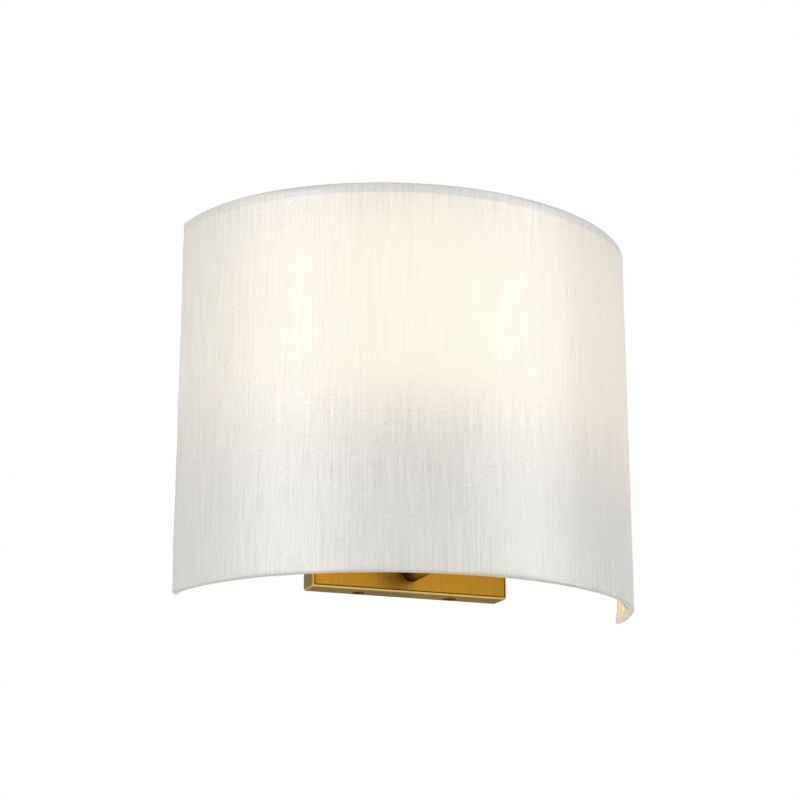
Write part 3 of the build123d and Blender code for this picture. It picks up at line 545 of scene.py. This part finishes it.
def metal_finish(name, base, roughness, scale=(900.0, 900.0, 900.0)):
    """Plated or bare metal with fine machining marks and small changes of gloss."""
    made = Finish(name, base, roughness, 1.0)
    marks = made.noise(scale, 3.0)
    clouds = made.noise((60.0, 60.0, 60.0), 2.0)
    made.link("Roughness", made.spread(clouds, roughness * 0.8, roughness * 1.3))
    made.link("Base Color", made.scaled(base, made.spread(marks, 0.9, 1.05)))
    made.bump(marks, 0.00001, 0.5)
    return made


def moulded_finish(name, base, roughness):
    """Moulded plastic, rubber or glazed clay with a fine skin and slight changes of tone."""
    made = Finish(name, base, roughness)
    skin = made.noise((1400.0, 1400.0, 1400.0), 2.0)
    clouds = made.noise((45.0, 45.0, 45.0), 2.0)
    made.link("Base Color", made.scaled(base, made.spread(clouds, 0.94, 1.04)))
    made.link("Roughness", made.spread(skin, roughness * 0.88, min(1.0, roughness * 1.15)))
    made.bump(skin, 0.00003, 0.4)
    return made


# ---- Shade ----


def turned_edges(span, settings, steps, extra):
    """Line across a sheet whose two ends are turned over a wire, with extra points on its face.

    Returns, for each point, the distance from the sheet's first edge and the depth behind its face. From the
    first hem's end on the lining the line rises over the wire to full depth, goes round a quarter circle,
    over the edge, round another quarter circle and along the face at depth 0, and the same way into the
    second hem.
    """
    thick, radius, hem = settings.edge_thickness, settings.edge_radius, settings.hem_width
    quarter = np.radians(np.linspace(0, 90, 6))
    hem_line = np.linspace(hem, radius, 9)[:-1]
    hem_depth = thick - (thick - settings.hem_depth) * smooth(hem_line, hem * 0.38, hem * 0.8)
    inner = np.stack([radius - radius * np.sin(quarter), thick - radius + radius * np.cos(quarter)], -1)
    outer = np.stack([radius - radius * np.cos(quarter), radius - radius * np.sin(quarter)], -1)
    first = np.vstack([np.stack([hem_line, hem_depth], -1), inner, outer])
    face = np.unique(np.concatenate([np.linspace(radius, span - radius, steps), extra]))[1:-1]
    middle = np.stack([face, np.zeros(len(face))], -1)
    last = first[::-1] * [-1, 1] + [span, 0]
    line = np.vstack([first, middle, last])
    return line[:, 0], line[:, 1]


def plan_points(along, inset, settings):
    """Points of the shade's plan: three arcs that pass smoothly into one another.

    along is the arc length on the outside, from the middle of the front to the right. A point lies on the
    front circle up to its half angle and on the side circle beyond it, at that circle's radius less the
    inset. Returns x, y, the outward direction and the arc length at the back edge.
    """
    half, front = settings.front_half_angle, settings.front_radius
    edge_x, edge_y = SHADE_HIGH[0], SHADE_HIGH[1]
    front_y = SHADE_LOW[1] + front
    reach = edge_x**2 + (edge_y - front_y) ** 2 - front**2
    drop = reach / (2 * (edge_x * np.sin(half) - (edge_y - front_y) * np.cos(half) - front))
    side = front - drop
    side_x, side_y = drop * np.sin(half), front_y - drop * np.cos(half)
    swing = np.sign(along)
    at_side = np.abs(along) > front * half
    angle = np.where(at_side, half + (np.abs(along) - front * half) / side, np.abs(along) / front)
    radius = np.where(at_side, side, front) - inset
    x = swing * (np.where(at_side, side_x, 0) + radius * np.sin(angle))
    y = np.where(at_side, side_y, front_y) - radius * np.cos(angle)
    outward = np.stack([swing * np.sin(angle), -np.cos(angle)], -1)
    end = np.arccos((side_y - edge_y) / side)
    return x, y, outward, front * half + side * (end - half)


def tinted(strength, tint):
    """An array of strengths times a colour, with the colour along a new last axis."""
    return strength[..., None] * np.array(tint)


def glow_at(points, outward, settings):
    """Colour of the light that comes through the cloth, from the lamp's place.

    In plan the direct part is the cube of the cosine at which the lamp's light meets the cloth, over the
    square of its way, with 1 straight in front of the lamp. The even part is what the lining scatters, a
    little more at the right and less at the back edges. Both fade upwards, and below the lamp, whose housing
    shades the lower cloth.
    """
    heart = np.array([LAMP_AXIS[0] - settings.glow_shift, LAMP_AXIS[1]])
    way = points[..., :2] - heart
    distance = np.linalg.norm(way, axis=-1)
    slant = (way * outward).sum(-1) / distance
    nearest = LAMP_AXIS[1] - SHADE_LOW[1]
    direct = np.clip(slant, 0, None) ** 3 * (nearest / distance) ** 2
    x, height = points[..., 0], points[..., 2]
    up = smooth(height, *DIRECT_RISE) * (1 - smooth(height, *DIRECT_FADE))
    direct = settings.glow_direct * direct * up
    up = smooth(height, *EVEN_RISE) * (1 - TOP_LOSS * smooth(height, *EVEN_FADE))
    side = 1 + RIGHT_GAIN * x / SHADE_HIGH[0] - SIDE_LOSS * smooth(np.abs(x), *SIDE_FADE)
    even = settings.glow_even * up * side
    return tinted(direct, settings.direct_colour) + tinted(even, settings.even_colour)


def make_cloth(settings):
    """The shade's cloth: one sheet, stretched round the plan and turned in at all four edges.

    Both the line round the plan and the line up the height have turned ends. A point's depth behind the
    face is the deeper of its two depths, plus a small share of the other, so that hems that cross lie over
    each other. Swells, a sum of sine waves round and up the shade, lift the single cloth off its lining by
    up to the ripple, and the upright edges wave by a sine of the height.
    """
    reach = plan_points(np.zeros(1), 0.0, settings)[3]
    width, height = 2 * reach, SHADE_HIGH[2] - SHADE_LOW[2]
    hem, ease = settings.hem_width, 0.0005
    across, depth_across = turned_edges(width, settings, CLOTH_COLUMNS, (hem, width - hem))
    bands = (hem - ease, hem + ease, height - hem - ease, height - hem + ease)
    up, depth_up = turned_edges(height, settings, CLOTH_ROWS, bands)
    along, level = np.meshgrid(across - reach, up)
    deep_a, deep_u = np.meshgrid(depth_across, depth_up)
    lap = settings.cloth_thickness * HEM_LAP / settings.edge_thickness
    depth = np.maximum(deep_a, deep_u) + lap * np.minimum(deep_a, deep_u)
    swell = np.sin(along * 31 + 1.3) * np.sin(level * 23 + 0.4) + np.sin(along * 83 + level * 17)
    swell += 0.6 * np.sin(along * 12 - level * 140 + 2.0) * smooth(np.abs(along), reach * 0.8, reach)
    rise = settings.ripple * smooth(swell, -2.2, 2.2) * (depth < ON_FACE)
    edge_wave = np.sin(level * 75 + np.sign(along)) * smooth(np.abs(along), reach - 0.03, reach)
    x, y, outward, _ = plan_points(along, depth - rise, settings)
    points = np.stack([x, y + settings.edge_wave * edge_wave, SHADE_LOW[2] + level], -1)
    single = (depth < ON_FACE) * (1 - smooth(level, height - hem - ease, height - hem + ease))
    single = single * (1 - SIDE_HEM_LOSS * smooth(np.abs(along), reach - hem - ease, reach - hem + ease))
    inside = smooth(depth, settings.hem_depth * 0.5, settings.hem_depth) * HEM_GLOW * settings.inner_glow
    glow = glow_at(points, outward, settings) * single[..., None] + tinted(inside, settings.inner_colour)
    cloth_across = np.concatenate([[0], np.cumsum(np.hypot(np.diff(across), np.diff(depth_across)))])
    cloth_up = np.concatenate([[0], np.cumsum(np.hypot(np.diff(up), np.diff(depth_up)))])
    maps = np.stack(np.meshgrid(cloth_across, cloth_up), -1)
    quads = grid_quads(*along.shape, wrap_columns=False)
    piece = mesh_piece("shade_cloth", points, quads, "shade")
    layer = piece.data.uv_layers.new(name="cloth")
    layer.data.foreach_set("uv", maps.reshape(-1, 2)[quads.ravel()].astype(np.float32).ravel())
    layer = piece.data.attributes.new("lamp_glow", "FLOAT_COLOR", "POINT")
    glow = np.concatenate([glow, np.ones((*glow.shape[:2], 1))], -1)
    layer.data.foreach_set("color", glow.astype(np.float32).ravel())
    wall = piece.modifiers.new("thickness", "SOLIDIFY")
    wall.thickness = settings.cloth_thickness
    wall.offset = -1.0
    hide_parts("shade_fabric")
    return piece


class WALLLIGHT_OT_shade(Operator):
    """Makes the shade's cloth and finishes its lining and wires"""

    bl_idname = "wall_light.shade"
    bl_label = "Shade"

    def execute(self, context):
        settings = context.scene.wall_light_shade
        cloth = make_cloth(settings)
        coat(cloth_finish(settings), cloth.name)
        coat(lining_finish(settings), "shade_lining")
        wire = moulded_finish("white stoved wire", (0.82, 0.81, 0.78), 0.42)
        wires = [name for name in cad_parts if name.startswith(("spider_arm", "back_strut"))]
        coat(wire, *wires, "top_ring", "bottom_ring", "fitter_ring")
        return {"FINISHED"}


# ---- Brass ----


def recess(x, y, size):
    """Depth share of a cross recess at points x, y of a screw head: two crossing slots with soft walls."""
    half, ease = size * 0.16, size * 0.08
    slots = [1 - smooth(np.abs(across), half - ease, half + ease) for across in (x, y)]
    return np.maximum(*slots) * (1 - smooth(np.hypot(x, y), size * 0.62, size * 0.74))


def screw_points(head, shank, head_height, shank_length, dome):
    """Points of one screw, its head's seat at the origin and its head along +Z.

    The head's top is a cap that falls with the square of the radius, less the recess. The profile then goes
    down the head's side, in to the shank and along it to a small chamfer.
    """
    radii = np.linspace(0, 1, 15) ** 0.8 * head
    angle = np.linspace(0, 2 * np.pi, SCREW_COLUMNS, endpoint=False)
    x, y = radii[:, None] * np.cos(angle), radii[:, None] * np.sin(angle)
    cap = (head_height - dome * (radii / head) ** 2)[:, None] - recess(x, y, head) * head_height * 0.55
    tail_r = np.array([head, shank, shank, shank * 0.7, 0.0])
    tail_z = np.array([0.0, 0.0, shank * 0.4 - shank_length, -shank_length, -shank_length])
    height = np.vstack([cap, np.repeat(tail_z[:, None], SCREW_COLUMNS, 1)])
    return turned(np.concatenate([radii, tail_r]), height, SCREW_COLUMNS, (0.0, 0.0))


def screws(name, places, pointing, turns, **sizes):
    """Piece of like screws on the fixed body, seated at the places and with their heads pointing one way.

    Each is turned by its own angle.
    """
    towards = np.array(Vector(pointing).to_track_quat("Z", "X").to_matrix())
    base = screw_points(**sizes)
    quads = grid_quads(*base.shape[:2])
    base = base.reshape(-1, 3)
    points, faces = [], []
    for number, (place, angle) in enumerate(zip(places, turns)):
        spin = np.array([[np.cos(angle), -np.sin(angle), 0], [np.sin(angle), np.cos(angle), 0], [0, 0, 1]])
        points.append(base @ (towards @ spin).T + np.asarray(place))
        faces.append(quads + number * len(base))
    piece = mesh_piece(name, np.vstack(points), np.vstack(faces), "root")
    close_up(piece)
    sharpen(piece, 40.0)
    return piece


class WALLLIGHT_OT_brass(Operator):
    """Finishes the backplate, arm and cover screws in brushed brass"""

    bl_idname = "wall_light.brass"
    bl_label = "Backplate and arm"

    def execute(self, context):
        settings = context.scene.wall_light_brass
        fine = 1 / settings.grain
        coat(plate_finish(settings, (fine, fine, fine / 60)), "backplate")
        # The arm takes painted shade: half all over, and nearly whole close to the plate
        along_arm, _ = brass_finish(settings, "brushed brass tube", (fine, fine / 12, fine / 12), 0.8, 0.5)
        coat(along_arm, "arm_tube")
        lowest, highest = low("cover_screws"), high("cover_screws")
        radius = (highest[1] - lowest[1]) / 2
        seat = lowest[2] + settings.screw_head
        screw_x = highest[0] - radius
        depth = (lowest[1] + highest[1]) / 2
        heads = screws(
            "cover_screws_brass",
            [(-screw_x, depth, seat), (screw_x, depth, seat)],
            (0, 0, -1),
            (0.5, 1.2),
            head=radius,
            shank=settings.screw_shank,
            head_height=settings.screw_head,
            shank_length=float(highest[2] - seat),
            dome=settings.screw_dome,
        )
        # The screws sit behind the plate's face, so they take nearly the full painted shade
        coat(brass_finish(settings, "brass screw", (fine, fine, fine), 0.6, 0.15)[0], heads.name)
        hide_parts("cover_screws")
        return {"FINISHED"}


# ---- Lampholder and lamp ----


def thread_wave(height, angle, pitch):
    """Rounded thread, 0.5 + 0.5 cos(2 pi height / pitch - angle): 0 in its groove and 1 on its crest."""
    return 0.5 + 0.5 * np.cos(2 * np.pi * height / pitch - angle)


def threaded_tube(name, body, bore, root, crest, pitch, bottom, top):
    """Tube round the lamp's axis with a thread outside.

    Its radius goes from root to crest as the thread wave says, and back to the root at both ends.
    """
    rows = int(round((top - bottom) / pitch * ROWS_A_TURN))
    level = np.linspace(bottom, top, rows)
    angle = np.linspace(0, 2 * np.pi, TUBE_COLUMNS, endpoint=False)
    run = smooth(level, bottom, bottom + pitch * 0.5) * (1 - smooth(level, top - pitch * 0.5, top))
    outside = root + (crest - root) * thread_wave(level[:, None], angle[None, :], pitch) * run[:, None]
    inside = np.full((1, TUBE_COLUMNS), bore)
    height = np.concatenate([[bottom], level, [top]])
    points = turned(np.vstack([inside, outside, inside]), height, TUBE_COLUMNS, LAMP_AXIS)
    piece = mesh_piece(name, points, grid_quads(rows + 2, TUBE_COLUMNS, wrap_rows=True), body)
    close_up(piece)
    sharpen(piece, 50.0)
    return piece


class WALLLIGHT_OT_holder(Operator):
    """Finishes the lampholder and cuts its threads"""

    bl_idname = "wall_light.holder"
    bl_label = "Lampholder"

    def execute(self, context):
        settings = context.scene.wall_light_lamp
        black = moulded_finish("black lampholder moulding", (0.035, 0.035, 0.038), 0.38)
        coat(black, "holder_cap", "holder_skirt", "shade_ring")
        core = moulded_finish("glazed steatite", (0.82, 0.80, 0.74), 0.22)
        coat(core, "holder_core")
        brass = metal_finish("stamped brass", (0.72, 0.52, 0.24), 0.30)
        coat(brass, "centre_contact", "side_contact", "thread_liner")
        lowest, highest = low("shade_ring"), high("holder_skirt")
        thread = threaded_tube(
            "skirt_thread",
            "root",
            settings.ring_bore,
            settings.ring_root,
            settings.ring_crest,
            settings.ring_pitch,
            float(lowest[2] + settings.ring_start),
            float(highest[2] - settings.ring_stop),
        )
        coat(black, thread.name)
        return {"FINISHED"}


class WALLLIGHT_OT_lamp(Operator):
    """Makes the lamp's threaded cap and finishes its housing, diffuser and boards"""

    bl_idname = "wall_light.lamp"
    bl_label = "Lamp"

    def execute(self, context):
        settings = context.scene.wall_light_lamp
        lowest, highest = low("bulb_cap"), high("bulb_cap")
        cap = threaded_tube(
            "bulb_cap_thread",
            "bulb",
            settings.cap_bore,
            settings.cap_root,
            settings.cap_crest,
            settings.cap_pitch,
            float(lowest[2]),
            float(highest[2]),
        )
        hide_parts("bulb_cap")
        coat(metal_finish("plated lamp cap", (0.78, 0.76, 0.70), 0.26), cap.name)
        coat(metal_finish("soldered lamp tip", (0.62, 0.60, 0.55), 0.4), "bulb_tip")
        coat(moulded_finish("black lamp insulator", (0.02, 0.02, 0.022), 0.25), "bulb_insulator")
        coat(moulded_finish("white lamp housing", (0.84, 0.84, 0.81), 0.35), "bulb_housing")
        opal = moulded_finish("lit opal diffuser", (0.93, 0.90, 0.84), 0.3)
        opal.set("Emission Color", (*settings.glow_colour, 1.0))
        opal.set("Emission Strength", settings.glow_strength)
        coat(opal, "bulb_diffuser")
        coat(moulded_finish("white light board", (0.84, 0.85, 0.83), 0.3), "light_board")
        coat(moulded_finish("yellow light chip", (0.85, 0.62, 0.12), 0.3), "light_chips")
        coat(moulded_finish("green driver board", (0.03, 0.2, 0.08), 0.35), "driver_board")
        return {"FINISHED"}


# ---- Fixings and wiring ----


class WALLLIGHT_OT_fixings(Operator):
    """Finishes the bracket, nipples, nut, washer and bush, and makes the screws with cross recesses"""

    bl_idname = "wall_light.fixings"
    bl_label = "Bracket and fixings"

    def execute(self, context):
        zinc = metal_finish("bright zinc plate", (0.60, 0.61, 0.60), 0.34, (500.0, 60.0, 500.0))
        coat(zinc, "wall_bracket", "wall_nipple", "holder_nipple", "arm_washer", "arm_nut", "grub_screw")
        coat(moulded_finish("black rubber bush", (0.03, 0.03, 0.03), 0.7), "cable_bush")
        coat(metal_finish("tinned tag", (0.66, 0.64, 0.58), 0.35), "earth_tag")
        made = []
        for node, head, shank, rise in (
            ("earth_screw", 0.0035, 0.00195, 0.0024),
            ("block_screw", 0.0019, 0.00135, 0.0016),
        ):
            lowest, highest = low(node), high(node)
            middle = (lowest + highest) / 2
            seat = lowest[1] + rise
            screw = screws(
                node + "_headed",
                [(middle[0], seat, middle[2])],
                (0, -1, 0),
                (0.7,),
                head=head,
                shank=shank,
                head_height=rise,
                shank_length=float(highest[1] - seat),
                dome=rise * 0.35,
            )
            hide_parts(node)
            made.append(screw.name)
        coat(zinc, *made)
        return {"FINISHED"}


class WALLLIGHT_OT_wiring(Operator):
    """Finishes the terminal block, its clamps and screws, and the three leads"""

    bl_idname = "wall_light.wiring"
    bl_label = "Wiring"

    def execute(self, context):
        block = moulded_finish("white terminal block", (0.76, 0.76, 0.73), 0.4)
        coat(block, "terminal_block")
        coat(metal_finish("terminal brass", (0.70, 0.52, 0.25), 0.3), "terminal_clamps")
        steel = metal_finish("terminal screw steel", (0.58, 0.58, 0.57), 0.35)
        coat(steel, "terminal_screws", "lead_screws")
        coat(moulded_finish("brown lead", (0.16, 0.06, 0.025), 0.45), "live_lead")
        coat(moulded_finish("blue lead", (0.02, 0.11, 0.36), 0.45), "neutral_lead")
        earth = moulded_finish("green and yellow lead", (0.10, 0.36, 0.05), 0.45)
        stripe = earth.spread(earth.threads(EARTH_STRIPE, "X", "Object", 0.0), 0, 1, 0.48, 0.52)
        earth.link("Base Color", earth.mix(stripe, (0.07, 0.3, 0.04), (0.75, 0.6, 0.03)))
        coat(earth, "earth_lead")
        return {"FINISHED"}


# ---- Stage ----


def softbox(name, watts, azimuth, settings):
    """Soft upright light that faces the shade's middle. Azimuth 0 is in front, and positive to the right."""
    data = bpy.data.lights.new(name, "AREA")
    data.shape = "RECTANGLE"
    data.size, data.size_y = settings.light_width, settings.light_height
    data.energy = watts
    lamp = bpy.data.objects.new(name, data)
    middle = Vector((0.0, LAMP_AXIS[1], (SHADE_LOW[2] + SHADE_HIGH[2]) / 2))
    rise = settings.light_rise
    back = Vector((np.sin(azimuth) * np.cos(rise), -np.cos(azimuth) * np.cos(rise), np.sin(rise)))
    lamp.location = middle + back * settings.light_distance
    lamp.rotation_mode = "QUATERNION"
    lamp.rotation_quaternion = (-back).to_track_quat("-Z", "Y")
    bpy.context.scene.collection.objects.link(lamp)


def background_rays(tree):
    """Socket that is 1 for rays that show the background: the camera's, and in gloss and clear pieces."""
    path = tree.nodes.new("ShaderNodeLightPath")
    total = path.outputs["Is Camera Ray"]
    for kind in ("Is Glossy Ray", "Is Transmission Ray"):
        larger = tree.nodes.new("ShaderNodeMath")
        larger.operation = "MAXIMUM"
        tree.links.new(total, larger.inputs[0])
        tree.links.new(path.outputs[kind], larger.inputs[1])
        total = larger.outputs[0]
    return total


def make_world(fill):
    """Even light that the camera, gloss and clear pieces see as white."""
    world = bpy.data.worlds.new("studio")
    world.use_nodes = True
    tree = world.node_tree
    strength = tree.nodes.new("ShaderNodeMapRange")
    strength.inputs["To Min"].default_value = fill
    strength.inputs["To Max"].default_value = 1.0
    tree.links.new(background_rays(tree), strength.inputs["Value"])
    background = tree.nodes["Background"]
    background.inputs["Color"].default_value = (1, 1, 1, 1)
    tree.links.new(strength.outputs["Result"], background.inputs["Strength"])
    bpy.context.scene.world = world


def floor_finish():
    """Pale floor that the camera, gloss and clear pieces see as white."""
    made = Finish("pale floor", (0.82, 0.82, 0.82), 0.9)
    nodes, links = made.tree.nodes, made.tree.links
    white = nodes.new("ShaderNodeEmission")
    mixed = nodes.new("ShaderNodeMixShader")
    links.new(background_rays(made.tree), mixed.inputs["Fac"])
    links.new(made.shader.outputs["BSDF"], mixed.inputs[1])
    links.new(white.outputs["Emission"], mixed.inputs[2])
    links.new(mixed.outputs["Shader"], nodes["Material Output"].inputs["Surface"])
    return made


class WALLLIGHT_OT_stage(Operator):
    """Makes the floor, the soft lights and the camera"""

    bl_idname = "wall_light.stage"
    bl_label = "Stage"

    def execute(self, context):
        settings = context.scene.wall_light_stage
        corners = np.array([(-1, -1), (1, -1), (1, 1), (-1, 1)]) * FLOOR_REACH
        corners = np.column_stack([corners, np.full(4, -settings.floor_drop)])
        mesh = bpy.data.meshes.new("floor")
        mesh.from_pydata(corners.tolist(), [], [(0, 1, 2, 3)])
        floor = bpy.data.objects.new("floor", mesh)
        context.scene.collection.objects.link(floor)
        mesh.materials.append(floor_finish().material)
        make_world(settings.fill)
        softbox("left softbox", settings.left_light, settings.left_turn, settings)
        softbox("right softbox", settings.right_light, settings.right_turn, settings)
        data = bpy.data.cameras.new("camera")
        data.lens = settings.lens
        data.sensor_width = 36.0
        camera = bpy.data.objects.new("camera", data)
        camera.location = settings.camera_place
        camera.rotation_euler = (np.pi / 2 + settings.camera_tilt, 0.0, -settings.camera_turn)
        context.scene.collection.objects.link(camera)
        context.scene.camera = camera
        context.scene.view_settings.view_transform = "Standard"
        return {"FINISHED"}


OPERATORS = (
    WALLLIGHT_OT_brass,
    WALLLIGHT_OT_shade,
    WALLLIGHT_OT_holder,
    WALLLIGHT_OT_lamp,
    WALLLIGHT_OT_fixings,
    WALLLIGHT_OT_wiring,
    WALLLIGHT_OT_stage,
)


class WALLLIGHT_PT_pieces(Panel):
    """Lists the pieces and their sizes in the 3D view's sidebar."""

    bl_label = "Wall light"
    bl_idname = "WALLLIGHT_PT_pieces"
    bl_space_type = "VIEW_3D"
    bl_region_type = "UI"
    bl_category = "Wall light"

    def draw(self, context):
        for operator in OPERATORS:
            self.layout.operator(operator.bl_idname)
        for group in SETTINGS:
            box = self.layout.box()
            settings = getattr(context.scene, group)
            for name in settings.bl_rna.properties.keys():
                if name not in ("name", "rna_type"):
                    box.prop(settings, name)


SETTINGS = {
    "wall_light_shade": ShadeSettings,
    "wall_light_brass": BrassSettings,
    "wall_light_lamp": LampSettings,
    "wall_light_stage": StageSettings,
}


def register():
    """Registers the settings, operators and panel."""
    for name, group in SETTINGS.items():
        bpy.utils.register_class(group)
        setattr(bpy.types.Scene, name, PointerProperty(type=group))
    for item in (*OPERATORS, WALLLIGHT_PT_pieces):
        bpy.utils.register_class(item)


def unregister():
    """Takes away what register added."""
    for item in (WALLLIGHT_PT_pieces, *reversed(OPERATORS)):
        bpy.utils.unregister_class(item)
    for name, group in reversed(list(SETTINGS.items())):
        delattr(bpy.types.Scene, name)
        bpy.utils.unregister_class(group)


def main():
    """Registers the add-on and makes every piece."""
    register()
    for operator in OPERATORS:
        group, name = operator.bl_idname.split(".")
        getattr(getattr(bpy.ops, group), name)()


if __name__ == "__main__":
    main()
